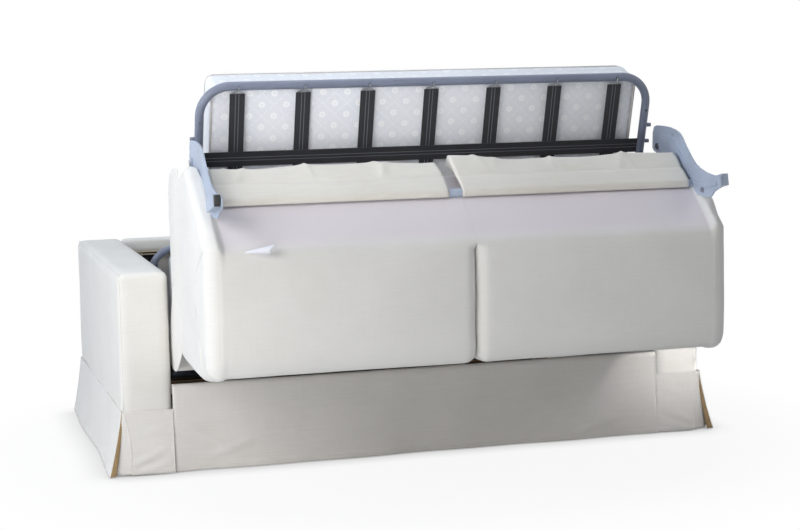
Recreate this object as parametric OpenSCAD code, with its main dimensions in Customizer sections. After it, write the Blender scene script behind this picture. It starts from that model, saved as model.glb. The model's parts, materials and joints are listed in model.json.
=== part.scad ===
// Sofa bed caught halfway through its fold: the foot section of the bed stands up,
// with the seat on its front and the backrest turned over against the seat.
// Lengths are in millimetres, the floor is z = 0 and the front of the sofa faces -y.

/* [Base] */
// Width over the two arms
overall_w = 1844; // [1500:1:2200]
// Depth of the arms from front to back
base_d = 1051; // [1000:1:1200]
// Height of the arms and of the back rail
arm_h = 600; // [590:1:680]
// Thickness of each arm
arm_w = 148; // [110:1:180]
// Radius along the edges of the arms
arm_r = 16; // [6:1:24]
// Height of the seam that the valance hangs from
valance_h = 193; // [120:1:230]
// Thickness of the valance cloth
cloth_t = 3; // [2:0.5:4]
// Depth of the soft waves in the valance
wave_a = 3; // [0:0.5:5]
// How far the front and back valances stand out at the hem
flare = 12; // [4:1:20]
// How far the side valances stand out at the hem
side_flare = 34; // [4:1:45]
// Height of the padded front board
front_h = 262; // [220:1:275]
// Thickness of the padded front board
front_t = 22; // [16:1:30]
// Height of the feet under the arms
foot_h = 25; // [15:1:40]
// Height of the bottom rails
rail_h = 60; // [40:1:66]
// Height of the padded rail at the top of the back
top_rail_h = 46; // [30:1:50]

/* [Bed frame] */
// Outside diameter of the frame tubes
tube_d = 25; // [20:1:30]
// Wall of the frame tubes
tube_wall = 1.5; // [1:0.1:2.5]
// Room between the side tubes of the head and foot sections and each arm
bed_room = 86.5; // [84:0.5:120]
// How far the middle section's side tubes stand inside the others
mid_inset = 37.5; // [35:0.5:60]
// Bend radius at the corners of the frames
bend_r = 88; // [50:1:120]
// Length of the middle section from pivot to pivot
mid_len = 880; // [840:1:900]
// Tilt of the middle section in this position
mid_tilt = 21.74; // [18:0.1:24]
// Length of the foot section from its pivot
foot_len = 664; // [620:1:700]
// Lean of the foot section past upright
foot_lean = 17.5; // [12:0.5:20]
// Distance from the head section's tubes to the back of the sofa
head_back = 115.2; // [111:0.1:126]
// Height of the pivot between head and middle sections
knee_z = 115; // [105:1:120]
// Height of the pivot that the head section swings on
head_pivot_z = 490; // [486:1:510]
// Height of the top of the head section
head_top = 568; // [560:1:575]
// Thickness of the ears that carry the pivots
ear_t = 5; // [3:0.5:6]
// Diameter of the pins
pin_d = 12; // [10:1:14]
// Clearance round each pin, on the diameter
pin_gap = 0.8; // [0.4:0.1:1.4]
// Diameter of the bars between the pins
bar_d = 20; // [16:1:22]
// Length of the link arms at the knee
knee_arm = 640; // [500:5:650]
// Length of the link arms at the fold
fold_arm = 260; // [200:5:270]
// Width of the link arms
link_w = 44; // [34:1:46]

/* [Mattress and straps] */
// Distance from the tubes to the mattress surface
pad = 120; // [110:1:125]
// How far the mattress on the head and middle sections ends inside the bed frame, on each side
mattress_inset = 59.5; // [56.5:0.5:112]
// How far the mattress on the foot section ends inside the bed frame, on each side
foot_inset = 32.5; // [27.5:0.5:112]
// Number of elastic straps across each section
strap_n = 7; // [5:1:9]
// Width of each strap
strap_w = 44; // [30:1:55]
// Thickness of each strap
strap_t = 2; // [1.5:0.5:3]
// Diameter of the wire in the strap hooks
wire_d = 3; // [2:0.5:4]

/* [Seat] */
// Height of the seat surface over the tubes
seat_t = 110; // [100:1:112]
// Thickness of the board under the seat
board_t = 12; // [9:1:15]
// Room between each end of the padded roll at the front of the seat and the arm
roll_room = 14; // [14:1:49]
// Thickness of the cloth sides of the seat
side_t = 4; // [2:0.5:5]

/* [Backrest] */
// Distance along the foot section to the backrest hinge
hinge_s = 451.5; // [440:0.5:460]
// Distance from the foot tubes to the backrest hinge
hinge_up = 73; // [68:0.5:78]
// Turn of the backrest in this position, from upright
back_turn = 180; // [178:0.5:181]
// Distance from each side of the bed frame to the side plate beside it
plate_out = 25.5; // [23.5:0.5:30.5]
// Thickness of the side plates
plate_t = 5; // [3:0.5:6]
// Distance from the hinge to the tube across the backrest
cross_y = 233; // [228:1:238]
// Rise from the hinge to the tube across the backrest
cross_z = 98; // [94:1:102]
// Thickness of the padded cheeks
cheek_t = 34; // [20:1:36]
// How far the padded cheeks stand out past the side plates
cheek_out = 45; // [32:1:47]
// Height of the tubes that become the front legs
leg_h = 33; // [28:1:40]
// Width of the tubes that become the front legs
leg_w = 20; // [15:1:20]

/* [Hidden] */
$fn = 48;

// Clear distance between pieces that lie against each other
seat_gap = 0.3;
// Half the width between the arms
inner = overall_w / 2 - arm_w;
// Widths between the arms, each at the tubes' centres or over the cloth
bed_w = 2 * (inner - bed_room);
mid_w = bed_w - 2 * mid_inset;
mattress_w = bed_w - 2 * mattress_inset;
foot_mattress_w = bed_w - 2 * foot_inset;
roll_w = 2 * (inner - roll_room);
plate_w = bed_w + 2 * plate_out;
cheek_w = plate_w + 2 * cheek_out;
// Distance from the base front to the head section
head_y = base_d - head_back;
tube_r = tube_d / 2;
bore_d = pin_d + pin_gap;
// From the tubes' centres to the mattress, over the straps on the middle section
strap_base = tube_r + seat_gap;
mid_base = strap_base + strap_t + seat_gap;
foot_base = tube_r + seat_gap;
// The head section's tubes already bend inwards where the pins end
pin_rise = max(0, head_pivot_z + pin_d / 2 - head_top + bend_r);
pin_end = bed_w / 2 - tube_r - seat_gap - bend_r + sqrt(bend_r * bend_r - pin_rise * pin_rise);

// Pivot between the middle and foot sections, seen from the side
fold_y = head_y - mid_len * cos(mid_tilt) + pad * sin(mid_tilt);
fold_z = knee_z + mid_len * sin(mid_tilt) + pad * cos(mid_tilt);
// Direction along the foot section and towards the seat
foot_a = 90 + foot_lean;
hinge_h = pad + hinge_up;
hinge_y = fold_y + hinge_s * cos(foot_a) - hinge_h * sin(foot_a);
hinge_z = fold_z + hinge_s * sin(foot_a) + hinge_h * cos(foot_a);
// Tip of the side plates, which reaches furthest to the front, and the legs that end beside it
tip_y = 428;
leg_end_y = tip_y - 8;
leg_end_z = 76;
leg_root_y = 318;
leg_root_z = 99;
leg_a = atan2(leg_root_z - leg_end_z, leg_root_y - leg_end_y);
leg_len = norm([leg_root_y - leg_end_y, leg_root_z - leg_end_z]);
cap_t = 4;
reach = hinge_y - tip_y;
// The origin is under the middle of the whole object
base_y = -(reach + base_d + flare + wave_a + cloth_t) / 2;

// Placing of each body
module on_base() {
  translate([0, base_y, 0])
    children();
}
module at_head() {
  translate([0, base_y + head_y, 0])
    children();
}
module at_middle() {
  translate([0, base_y + head_y, knee_z])
    rotate([-mid_tilt, 0, 0])
      children();
}
module at_fold() {
  translate([0, base_y + fold_y, fold_z])
    rotate([foot_a, 0, 0])
      children();
}
module at_back() {
  translate([0, base_y + hinge_y, hinge_z])
    rotate([back_turn, 0, 0])
      children();
}
module both() {
  children();
  mirror([1, 0, 0])
    children();
}

// Rectangle with rounded corners, from its lower left corner
module rrect(w, h, r) {
  translate([r, 0])
    square([w - 2 * r, h]);
  translate([0, r])
    square([w, h - 2 * r]);
  for (x = [r, w - r], y = [r, h - r])
    translate([x, y])
      circle(r);
}
// Plate standing in the y-z plane with its faces at x and x + t
module side_plate(x, t) {
  translate([x, 0, 0])
    rotate([90, 0, 90])
      linear_extrude(t)
        children();
}
// Round bar along x
module bar(x0, x1, d, y = 0, z = 0) {
  translate([x0, y, z])
    rotate([0, 90, 0])
      cylinder(h = x1 - x0, d = d);
}
// Tube along z from the origin
module pipe(l) {
  difference() {
    cylinder(h = l, d = tube_d);
    translate([0, 0, -1])
      cylinder(h = l + 2, d = tube_d - 2 * tube_wall);
  }
}
// Quarter bend that joins tubes lying in the x-y plane
module bend() {
  rotate_extrude(angle = 90)
    translate([bend_r, 0])
      difference() {
        circle(d = tube_d);
        circle(d = tube_d - 2 * tube_wall);
      }
}
// Frame of tube in the x-y plane, open at y = 0 and closed by bends at y = len
module hoop(w, len) {
  both()
    translate([w / 2, 0, 0])
      rotate([-90, 0, 0])
        pipe(len - bend_r);
  both()
    translate([w / 2 - bend_r, len - bend_r, 0])
      bend();
  translate([-w / 2 + bend_r, len, 0])
    rotate([0, 90, 0])
      pipe(w - 2 * bend_r);
}
// Tube across a frame, with its ends set into the walls of the side tubes
module crossbar(w, y) {
  reach_in = w / 2 - tube_r + tube_wall / 2;
  translate([-reach_in, y, 0])
    rotate([0, 90, 0])
      pipe(2 * reach_in);
}

// Solid through rings of equal count, given as lists of points
module skin(rings) {
  n = len(rings[0]);
  m = len(rings);
  pts = [for (r = rings) for (p = r) p];
  sides = [for (j = [0 : m - 2], i = [0 : n - 1])
    each [[j * n + i, j * n + (i + 1) % n, (j + 1) * n + i],
          [j * n + (i + 1) % n, (j + 1) * n + (i + 1) % n, (j + 1) * n + i]]];
  first = [for (i = [n - 1 : -1 : 0]) i];
  last = [for (i = [0 : n - 1]) (m - 1) * n + i];
  polyhedron(points = pts, faces = concat([first], sides, [last]), convexity = 6);
}
// Moves each corner of an outline towards its centre, by d along both directions
function shrink(p, d) =
  let (ys = [for (q = p) q[0]], zs = [for (q = p) q[1]])
  let (cy = (min(ys) + max(ys)) / 2, cz = (min(zs) + max(zs)) / 2)
  let (ky = 1 - 2 * d / (max(ys) - min(ys)), kz = 1 - 2 * d / (max(zs) - min(zs)))
  [for (q = p) [cy + (q[0] - cy) * ky, cz + (q[1] - cz) * kz]];
// Padded form along x: a y-z outline with round ends, drawn in by dip away from its middle
module padded(p, x0, x1, r, dip) {
  steps = [0, 0.08, 0.3, 0.62, 1];
  w = x1 - x0;
  left = [for (s = steps) [x0 + r * s, r * (1 - sqrt(1 - (1 - s) * (1 - s))) + dip]];
  mid = [for (s = [0.12, 0.3, 0.5, 0.7, 0.88]) [x0 + w * s, dip * pow(abs(2 * s - 1), 2)]];
  right = [for (i = [len(steps) - 1 : -1 : 0]) [x1 - r * steps[i], left[i][1]]];
  ends = concat(left, mid, right);
  skin([for (e = ends) [for (q = shrink(p, e[1])) [e[0], q[0], q[1]]]]);
}

// Base

module arm_body() {
  intersection() {
    translate([inner, 0, foot_h])
      cube([arm_w, base_d, arm_h - foot_h]);
    translate([inner, base_d, foot_h])
      rotate([90, 0, 0])
        linear_extrude(base_d)
          rrect(arm_w, arm_h - foot_h, arm_r);
    translate([inner, 0, foot_h])
      linear_extrude(arm_h)
        rrect(arm_w, base_d, arm_r);
  }
}
module left_arm() {
  color("ivory")
    on_base()
      mirror([1, 0, 0])
        arm_body();
}
module right_arm() {
  color("ivory")
    on_base()
      arm_body();
}
module front_board() {
  w = 2 * (inner - seat_gap);
  color("ivory")
    on_base()
      translate([-w / 2, 0, foot_h])
        rotate([90, 0, 90])
          linear_extrude(w)
            union() {
              square([front_t, front_h - foot_h - front_t / 2]);
              translate([front_t / 2, front_h - foot_h - front_t / 2])
                circle(front_t / 2);
            }
}
module base_rails() {
  side_w = 34;
  z0 = foot_h + 5;
  x1 = inner - seat_gap;
  y0 = front_t + seat_gap;
  y1 = base_d - top_rail_h - seat_gap;
  color("burlywood")
    on_base() {
      both()
        translate([x1 - side_w, y0, z0])
          cube([side_w, y1 - y0, rail_h]);
      for (y = [y0, y1 - side_w])
        translate([-x1 + side_w, y, z0])
          cube([2 * (x1 - side_w), side_w, rail_h]);
      translate([-x1 + side_w, y0 + side_w, z0])
        cube([2 * (x1 - side_w), y1 - y0 - 2 * side_w, 6]);
    }
}
back_t = 4;
web_t = 2.5;
module back_rails() {
  t = top_rail_h - back_t - web_t - 2 * seat_gap;
  x1 = inner - seat_gap;
  post = 30;
  color("ivory")
    on_base()
      translate([0, base_d - top_rail_h, 0]) {
        translate([-x1, 0, arm_h - top_rail_h])
          rotate([90, 0, 90])
            linear_extrude(2 * x1)
              rrect(t, top_rail_h, 8);
        translate([-x1, 0, foot_h + 5])
          cube([2 * x1, t, rail_h]);
        both()
          translate([x1 - post, 0, foot_h + 5])
            cube([post, t, arm_h - top_rail_h / 2 - foot_h - 5]);
      }
}
module back_webbing() {
  n = 9;
  w = 50;
  span = 2 * inner - 200;
  y = base_d - back_t - web_t - seat_gap;
  color("dimgray")
    on_base()
      for (i = [0 : n - 1])
        translate([-span / 2 + i * span / (n - 1) - w / 2, y, foot_h + 15])
          cube([w, web_t, arm_h - foot_h - 35]);
}
module back_panel() {
  color("ivory")
    on_base()
      translate([-inner + seat_gap, base_d - back_t, foot_h])
        cube([2 * (inner - seat_gap), back_t, arm_h - foot_h - 10]);
}
module feet() {
  color("black")
    on_base()
      for (x = [-1, 1], y = [70, base_d - 70])
        translate([x * (inner + arm_w / 2), y, 0])
          cylinder(h = foot_h, d = 50);
}
// Cloth hanging along x, with its inner face at y = 0 at the seam
module valance(w, waves, out_by) {
  cols = 4 * waves;
  rows = [0, 0.35, 0.7, 1];
  top = valance_h;
  low = 4;
  function out(s, k) = -seat_gap - s * (0.7 + 0.3 * s) * (out_by + wave_a * sin(360 * k * waves / cols + 20 * s));
  rings = [for (k = [0 : cols])
    let (x = -w / 2 + w * k / cols)
    concat(
      [for (s = rows) [x, out(s, k), top - s * (top - low)]],
      [for (j = [3 : -1 : 0]) [x, out(rows[j], k) - cloth_t, top - rows[j] * (top - low)]])];
  skin(rings);
}
module front_valance() {
  color("ivory")
    on_base()
      valance(overall_w - 2 * arm_r, 11, flare);
}
module left_valance() {
  color("ivory")
    on_base()
      translate([-overall_w / 2, base_d / 2, 0])
        rotate([0, 0, -90])
          valance(base_d - 2 * arm_r, 6, side_flare);
}
module right_valance() {
  color("ivory")
    on_base()
      translate([overall_w / 2, base_d / 2, 0])
        rotate([0, 0, 90])
          valance(base_d - 2 * arm_r, 6, side_flare);
}
module back_valance() {
  color("ivory")
    on_base()
      translate([0, base_d, 0])
        rotate([0, 0, 180])
          valance(overall_w - 2 * arm_r, 8, flare);
}
// Inset pleat that opens below each corner of the arms
module corner_pleats() {
  r0 = arm_r;
  color("bisque")
    on_base()
      for (x = [-1, 1], y = [0, 1])
        translate([x * (overall_w / 2 - r0), y * base_d + (y == 0 ? r0 : -r0), 0])
          rotate([0, 0, atan2(y == 0 ? -1 : 1, x)])
            pleat();
}
module pleat() {
  h = valance_h;
  d0 = arm_r + seat_gap + cloth_t;
  function web(d, w, z) = [[d, -w, z], [d, w, z], [d - cloth_t, w, z], [d - cloth_t, -w, z]];
  skin([web(d0, 4, h), web(d0 + 4, 9, h * 0.6), web(d0 + 10, 16, 4)]);
}
module head_posts() {
  x0 = mid_w / 2 + 12.5 - ear_t + 4;
  foot_y = base_d - top_rail_h - seat_gap;
  z0 = foot_h + 5 + rail_h;
  color("lightsteelblue")
    on_base()
      both()
        side_plate(x0, ear_t)
          difference() {
            union() {
              polygon([[foot_y - 34, z0], [foot_y, z0], [foot_y, head_pivot_z - 70],
                [head_y + 14, head_pivot_z - 14.5], [head_y - 18, head_pivot_z - 8],
                [foot_y - 34, head_pivot_z - 110]]);
              translate([head_y, head_pivot_z])
                circle(20);
            }
            translate([head_y, head_pivot_z])
              circle(d = bore_d);
          }
}
module head_pins() {
  x0 = mid_w / 2 + 12.5 - ear_t + 4;
  color("silver")
    on_base()
      both() {
        bar(x0 - 3, pin_end, pin_d, head_y, head_pivot_z);
        bar(x0 - 7, x0 - seat_gap, 20, head_y, head_pivot_z);
      }
}

// Bed sections

// Inner faces of the ears that the bars turn in
outer_ear = bed_w / 2 - tube_r - ear_t + 0.5;
inner_ear = mid_w / 2 + tube_r - 0.5;
// Inner faces of the link arms, just outside the tubes
link_t = 7;
stiffener_t = 25;
link_x = bed_w / 2 + tube_r + 4;
// Bar between a pair of pins, with the pins turned on its ends
module hinge_bar() {
  x0 = inner_ear - 0.7;
  x1 = outer_ear + ear_t + 0.4;
  x2 = link_x + link_t + 0.3;
  bar(-x0, x0, bar_d);
  both() {
    bar(x0 - 1, x2 + 0.5, pin_d);
    bar(x1, link_x - 0.3, pin_d + 5);
    bar(x2, x2 + 1.2, pin_d + 6);
  }
}
// Outline of a flat bar with round ends, from its pivot to its far end
function link_outline(len) =
  concat(
    [for (t = [90 : 15 : 270]) link_w / 2 * [cos(t), sin(t)]],
    [for (t = [-90 : 15 : 90]) [len - link_w / 2, 0] + link_w / 2 * [cos(t), sin(t)]]);
// Outline of the thicker part between the two eyes of a flat bar
function stiffener_outline(len) =
  let (w = link_w / 2 - 4, x0 = 32, x1 = len - link_w / 2 + 12)
  [[x0 + 8, -w], [x1 - 8, -w], [x1, 8 - w], [x1, w - 8], [x1 - 8, w], [x0 + 8, w], [x0, w - 8], [x0, 8 - w]];
// Arms of a hinge link, turned by a from the y axis, with an eye at each end
module link_arms(len, a, stiffener_t = 0) {
  both()
    difference() {
      union() {
        side_plate(link_x, link_t)
          rotate(a)
            polygon(link_outline(len));
        if (stiffener_t > 0)
          side_plate(link_x + 1, link_t - 1 + stiffener_t)
            rotate(a)
              polygon(stiffener_outline(len));
      }
      side_plate(link_x - 1, link_t + stiffener_t + 2) {
        circle(d = bore_d);
        rotate(a)
          translate([len - link_w / 2, 0])
            circle(d = 10);
      }
    }
}
// Straps that run along a section between two cross tubes
module straps(w, y0, y1, z) {
  pitch = w / (strap_n - 0.08);
  for (i = [0 : strap_n - 1])
    translate([(i - (strap_n - 1) / 2) * pitch - strap_w / 2, y0, z])
      cube([strap_w, y1 - y0, strap_t]);
}
// Mattress outline across its thickness, softened at its edges and drawn in along the piping
function slab(y0, y1, z0, z1) =
  let (r = 16, m = (z0 + z1) / 2, d = 3)
  [[y0 + r, z0], [y1 - r, z0], [y1 - 5, z0 + 5], [y1, z0 + r], [y1 - d, m],
   [y1, z1 - r], [y1 - 5, z1 - 5], [y1 - r, z1], [y0 + r, z1], [y0 + 5, z1 - 5],
   [y0, z1 - r], [y0 + d, m], [y0, z0 + r], [y0 + 5, z0 + 5]];

head_bottom = knee_z + 22;
module head_frame() {
  len = head_top - head_bottom;
  color("lightsteelblue")
    at_head() {
      translate([0, 0, head_bottom])
        rotate([90, 0, 0])
          union() {
            hoop(bed_w, len);
            crossbar(bed_w, 30);
          }
      both()
        side_plate(outer_ear, ear_t)
          difference() {
            union() {
              translate([0, knee_z])
                circle(15);
              translate([-15, knee_z])
                square([30, 75]);
              translate([0, head_pivot_z])
                circle(20);
            }
            for (z = [knee_z, head_pivot_z])
              translate([0, z])
                circle(d = bore_d);
          }
    }
}
module head_straps() {
  color("black")
    at_head()
      rotate([90, 0, 0])
        straps(bed_w - 40, head_bottom + 30 - tube_r, head_top + tube_r - 1, tube_r + seat_gap);
}
module head_mattress() {
  y = -pad + 1;
  b = -tube_r - seat_gap - strap_t - seat_gap;
  low = knee_z + 75;
  color("whitesmoke")
    at_head()
      padded([[y + 12, low], [b - 12, low], [b - 4, low + 4], [b, low + 14], [b, head_top - 30],
        [b - 4, head_top - 20], [b - 16, head_top - 20], [y + 14, head_top - 106],
        [y + 3, head_top - 116], [y, head_top - 130], [y + 3, (low + head_top) / 2 - 40],
        [y, low + 14], [y + 4, low + 4]],
        -mattress_w / 2, mattress_w / 2, 14, 2);
}
module knee_bar() {
  color("silver")
    at_head()
      translate([0, 0, knee_z])
        hinge_bar();
}
module knee_arms() {
  color("silver")
    at_middle()
      link_arms(knee_arm, 180);
}
module middle_frame() {
  color("lightsteelblue")
    at_middle() {
      both()
        translate([mid_w / 2, -mid_len, 0])
          rotate([-90, 0, 0])
            pipe(mid_len - 20);
      for (y = [-60, -mid_len + 50])
        crossbar(mid_w, y);
      both()
        side_plate(inner_ear, ear_t)
          difference() {
            union() {
              circle(15);
              translate([-90, -10])
                square([90, 20]);
              translate([-mid_len, pad])
                circle(15);
              polygon([[-mid_len - 13, pad - 6], [-mid_len - 13, -10], [-mid_len + 90, -10],
                [-mid_len + 90, 10], [-mid_len + 30, 14], [-mid_len + 13, pad - 6]]);
            }
            circle(d = bore_d);
            translate([-mid_len, pad])
              circle(d = bore_d);
          }
    }
}
module middle_straps() {
  color("black")
    at_middle()
      straps(mid_w - 40, -mid_len + 50 - tube_r, -60 + tube_r, strap_base);
}
module middle_mattress() {
  color("whitesmoke")
    at_middle()
      padded(slab(-mid_len + 15, -185, mid_base, pad - 1), -mattress_w / 2, mattress_w / 2, 14, 2);
}
module fold_bar() {
  color("silver")
    at_fold()
      hinge_bar();
}
module fold_arms() {
  color("silver")
    on_base()
      translate([0, fold_y, fold_z])
        link_arms(fold_arm, -48 - mid_tilt, stiffener_t);
}
low_bar_s = 40;
module foot_frame() {
  color("lightsteelblue")
    at_fold() {
      difference() {
        translate([0, 0, pad])
          union() {
            hoop(bed_w, foot_len - tube_r);
            crossbar(bed_w, low_bar_s);
          }
        for (i = [0 : strap_n - 1])
          translate([strap_x(i), foot_len - tube_r, pad + 5])
            cylinder(h = tube_d, d = wire_d + 4);
        both()
          for (s = [hinge_s - 40, hinge_s + 95])
            translate([bed_w / 2, s, pad + 5])
              cylinder(h = tube_d, d = 6);
      }
      both()
        side_plate(outer_ear, ear_t)
          difference() {
            union() {
              circle(15);
              polygon([[-13, 4], [15, 0], [90, pad - 10], [90, pad + 8], [0, pad + 8], [-13, pad]]);
            }
            circle(d = bore_d);
          }
      both()
        for (s = [hinge_s - 8, hinge_s + 44])
          bar(bed_w / 2 + tube_r - 1.5, plate_w / 2 - seat_gap, 12, s, pad);
    }
}
function strap_x(i) = (i - (strap_n - 1) / 2) * (bed_w - 40) / (strap_n - 0.08);
hook_drop = 24;
module foot_straps() {
  z = pad + tube_r + seat_gap;
  color("black")
    at_fold()
      straps(bed_w - 40, low_bar_s + tube_r + seat_gap, foot_len - tube_r - hook_drop, z - tube_r - 4);
}
cross_s = 408;
module cross_strap() {
  color("black")
    at_fold()
      translate([-bed_w / 2 + tube_r + seat_gap, cross_s, pad + tube_r + seat_gap - tube_r - 4 + strap_t + seat_gap])
        cube([bed_w - tube_d - 2 * seat_gap, strap_w, strap_t]);
}
// Wire triangle that holds a strap to the top tube
module strap_hooks() {
  z = pad + seat_gap - 4 + strap_t / 2;
  base_s = foot_len - tube_r - hook_drop + wire_d / 2 + seat_gap;
  top_s = foot_len - tube_r;
  top_z = pad + tube_r + 3;
  color("silver")
    at_fold()
      for (i = [0 : strap_n - 1])
        translate([strap_x(i), 0, 0]) {
          bar(-strap_w / 2 + 5, strap_w / 2 - 5, wire_d, base_s, z);
          both()
            slope([strap_w / 2 - 5, base_s, z], [1, top_s - 9, top_z]);
          slope([0, top_s - 10, top_z], [0, top_s + 0.5, top_z]);
          slope([0, top_s, top_z + 1], [0, top_s, pad + 7]);
        }
}
module slope(p, q) {
  v = q - p;
  translate(p)
    rotate([0, acos(v[2] / norm(v)), atan2(v[1], v[0])])
      cylinder(h = norm(v), d = wire_d, $fn = 16);
}
module foot_mattress() {
  color("whitesmoke")
    at_fold()
      padded(slab(15, foot_len - 14, 1, pad - foot_base), -foot_mattress_w / 2, foot_mattress_w / 2, 16, 2);
}

// Seat

// Bent arms that carry the backrest hinges, bolted to the ends of the seat board
arm_x = plate_w / 2 + plate_t + seat_gap;
hanger_t = 4.5;
module hinge_hangers() {
  z0 = board_z;
  z1 = board_z + board_t;
  color("lightsteelblue")
    at_fold()
      both() {
        side_plate(arm_x, hanger_t)
          difference() {
            union() {
              translate([hinge_s, hinge_h])
                circle(15);
              polygon([[hinge_s + 6, hinge_h + 13], [hinge_s - 60, hinge_h + 2], [296, z1 + 10],
                [210, z1 + 4], [210, z0], [300, z0], [hinge_s - 70, hinge_h - 24],
                [hinge_s + 6, hinge_h - 13]]);
            }
            translate([hinge_s, hinge_h])
              circle(d = bore_d);
          }
        translate([bed_w / 2 + 8 + seat_gap, 215, z0])
          cube([arm_x - bed_w / 2 - 8, 70, 4]);
      }
}

seat_z = pad + seat_t;
board_z = pad + tube_r + 0.5;
module seat_board() {
  color("burlywood")
    at_fold()
      translate([-bed_w / 2 - 8, -124, board_z])
        cube([bed_w + 16, 420, board_t]);
}
module seat_cushion(x0, x1) {
  b = board_z + board_t + seat_gap;
  t = seat_z - 1;
  padded([[-120, b], [280, b], [296, b + 6], [300, b + 20], [298, t - 14], [284, t - 3],
    [240, t], [60, t], [-110, t], [-166, t - 3], [-173, t - 9], [-170, t - 16], [-130, b + 12]],
    x0, x1, 18, 2);
}
module left_seat_cushion() {
  color("ivory")
    at_fold()
      seat_cushion(-bed_w / 2 - 16, -2);
}
module right_seat_cushion() {
  color("ivory")
    at_fold()
      seat_cushion(2, bed_w / 2 + 16);
}
roll_s = -197;
module seat_roll() {
  z0 = board_z + 4;
  z1 = seat_z - 2;
  color("ivory")
    at_fold()
      padded([[roll_s + 8, z0], [-134, z0], [-126, z0 + 4], [-126, z0 + 11], [-131, z0 + 20.5],
        [-171, z1 - 15], [-177, z1 - 4], [roll_s + 10, z1], [roll_s + 2, z1 - 5],
        [roll_s, (z0 + z1) / 2], [roll_s + 2, z0 + 6]],
        -roll_w / 2, roll_w / 2, 12, 1);
}
// Cloth side that hangs beside the seat, given from the fold pivot
module seat_side() {
  side_plate(roll_w / 2 + seat_gap, side_t)
    rotate(-foot_a)
      polygon([[-154.8, -249.4], [-68.8, -236.4], [-100.8, -180.4], [-148.8, -112.4],
        [-162.8, -52.4], [-162.8, 285.6], [-174.8, 313.6], [-198.8, 335.6], [-232.8, 349.6],
        [-272.8, 356.6], [-312.8, 351.6], [-310.8, 107.6], [-294.8, -122.4], [-222.8, -214.4]]);
}
module left_seat_side() {
  color("ivory")
    at_fold()
      mirror([1, 0, 0])
        seat_side();
}
module right_seat_side() {
  color("ivory")
    at_fold()
      seat_side();
}

// Backrest, drawn upright about its hinge

module hinge_bolts() {
  x0 = plate_w / 2 - seat_gap;
  x1 = arm_x + hanger_t + seat_gap;
  color("silver")
    at_fold()
      both() {
        bar(x0 - 5, x0, pin_d + 9, hinge_s, hinge_h);
        bar(x0 - 1, x1 + 1, pin_d, hinge_s, hinge_h);
        bar(x1, x1 + 4, pin_d + 6, hinge_s, hinge_h);
      }
}
// Outline of the pressed side plate, from the hinge at its root to the leg at its tip
module plate_outline() {
  polygon([[-42, 6], [-40, -40], [-30, -58], [-12, -63], [38, -63], [80, -61], [120, -55],
    [150, -46], [170, -33], [184, -19], [198, -6], [223, 14], [240, 27], [262, 40], [290, 51],
    [330, 60], [370, 65], [tip_y - 2, 67], [tip_y, 96], [405, 104], [382, 113], [366, 126], [352, 131],
    [307, 130], [262, 128], [214, 125], [194, 118], [178, 106], [160, 84], [140, 60], [116, 36],
    [96, 24], [70, 18], [41, 16], [12, 19], [-8, 20], [-30, 16]]);
}
module plate_body() {
  side_plate(plate_w / 2, plate_t)
    difference() {
      plate_outline();
      circle(d = bore_d);
      translate([110, -38])
        circle(5);
      translate([199, 104])
        circle(d = 8.4);
      translate([312, 112])
        circle(d = 8.4);
    }
  side_plate(plate_w / 2 - 2.5, 3)
    difference() {
      rib_outline(5);
      translate([cross_y, cross_z])
        circle(tube_r + 1.5);
    }
}
// Points beside a line at the distance w, mitred at its corners
function beside(p, w) =
  [for (i = [0 : len(p) - 1])
    let (a = i == 0 ? p[1] - p[0] : p[i] - p[i - 1],
      b = i == len(p) - 1 ? a : p[i + 1] - p[i],
      c = a / norm(a) + b / norm(b),
      m = [-c[1], c[0]] / norm(c),
      k = (m * [-a[1], a[0]]) / norm(a))
    p[i] + m * w / k];
// Raised rib that follows the bend of the plate
module rib_outline(w) {
  p = [[58, -34], [110, -22], [146, 2], [176, 36], [206, 70], [250, 92], [330, 98], [402, 88]];
  low = beside(p, -w);
  polygon(concat(beside(p, w), [for (i = [len(p) - 1 : -1 : 0]) low[i]]));
}
module left_plate() {
  color("lightsteelblue")
    at_back()
      mirror([1, 0, 0])
        plate_body();
}
module right_plate() {
  color("lightsteelblue")
    at_back()
      plate_body();
}
module plate_rivets() {
  x1 = plate_w / 2 + plate_t;
  color("silver")
    at_back()
      both()
        for (p = [[199, 104], [312, 112]]) {
          bar(plate_w / 2 - 3, x1 - 0.2, 8, p[0], p[1]);
          bar(plate_w / 2 - 5.5, plate_w / 2 - 2.5 - 0.3, 14, p[0], p[1]);
        }
}
module cross_tube() {
  x1 = plate_w / 2 - seat_gap;
  color("lightsteelblue")
    at_back()
      translate([-x1, cross_y, cross_z])
        rotate([0, 90, 0])
          pipe(2 * x1);
}
module leg_tubes() {
  x0 = plate_w / 2 + plate_t + seat_gap;
  color("lightsteelblue")
    at_back()
      both()
        translate([x0, leg_root_y, leg_root_z])
          rotate([leg_a - 180, 0, 0])
            translate([0, 0, -leg_h / 2])
              difference() {
                cube([leg_w, leg_len, leg_h]);
                translate([1.5, 4, 1.5])
                  cube([leg_w - 3, leg_len, leg_h - 3]);
              }
}
module leg_caps() {
  x0 = plate_w / 2 + plate_t + seat_gap;
  color("black")
    at_back()
      both()
        translate([x0, leg_root_y, leg_root_z])
          rotate([leg_a - 180, 0, 0])
            translate([0, leg_len, -leg_h / 2]) {
              translate([0, seat_gap, 0])
                cube([leg_w, cap_t - seat_gap, leg_h]);
              translate([1.8, -12, 1.8])
                cube([leg_w - 3.6, 12 + seat_gap + 1, leg_h - 3.6]);
            }
}
core_w = plate_w - 14;
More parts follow.
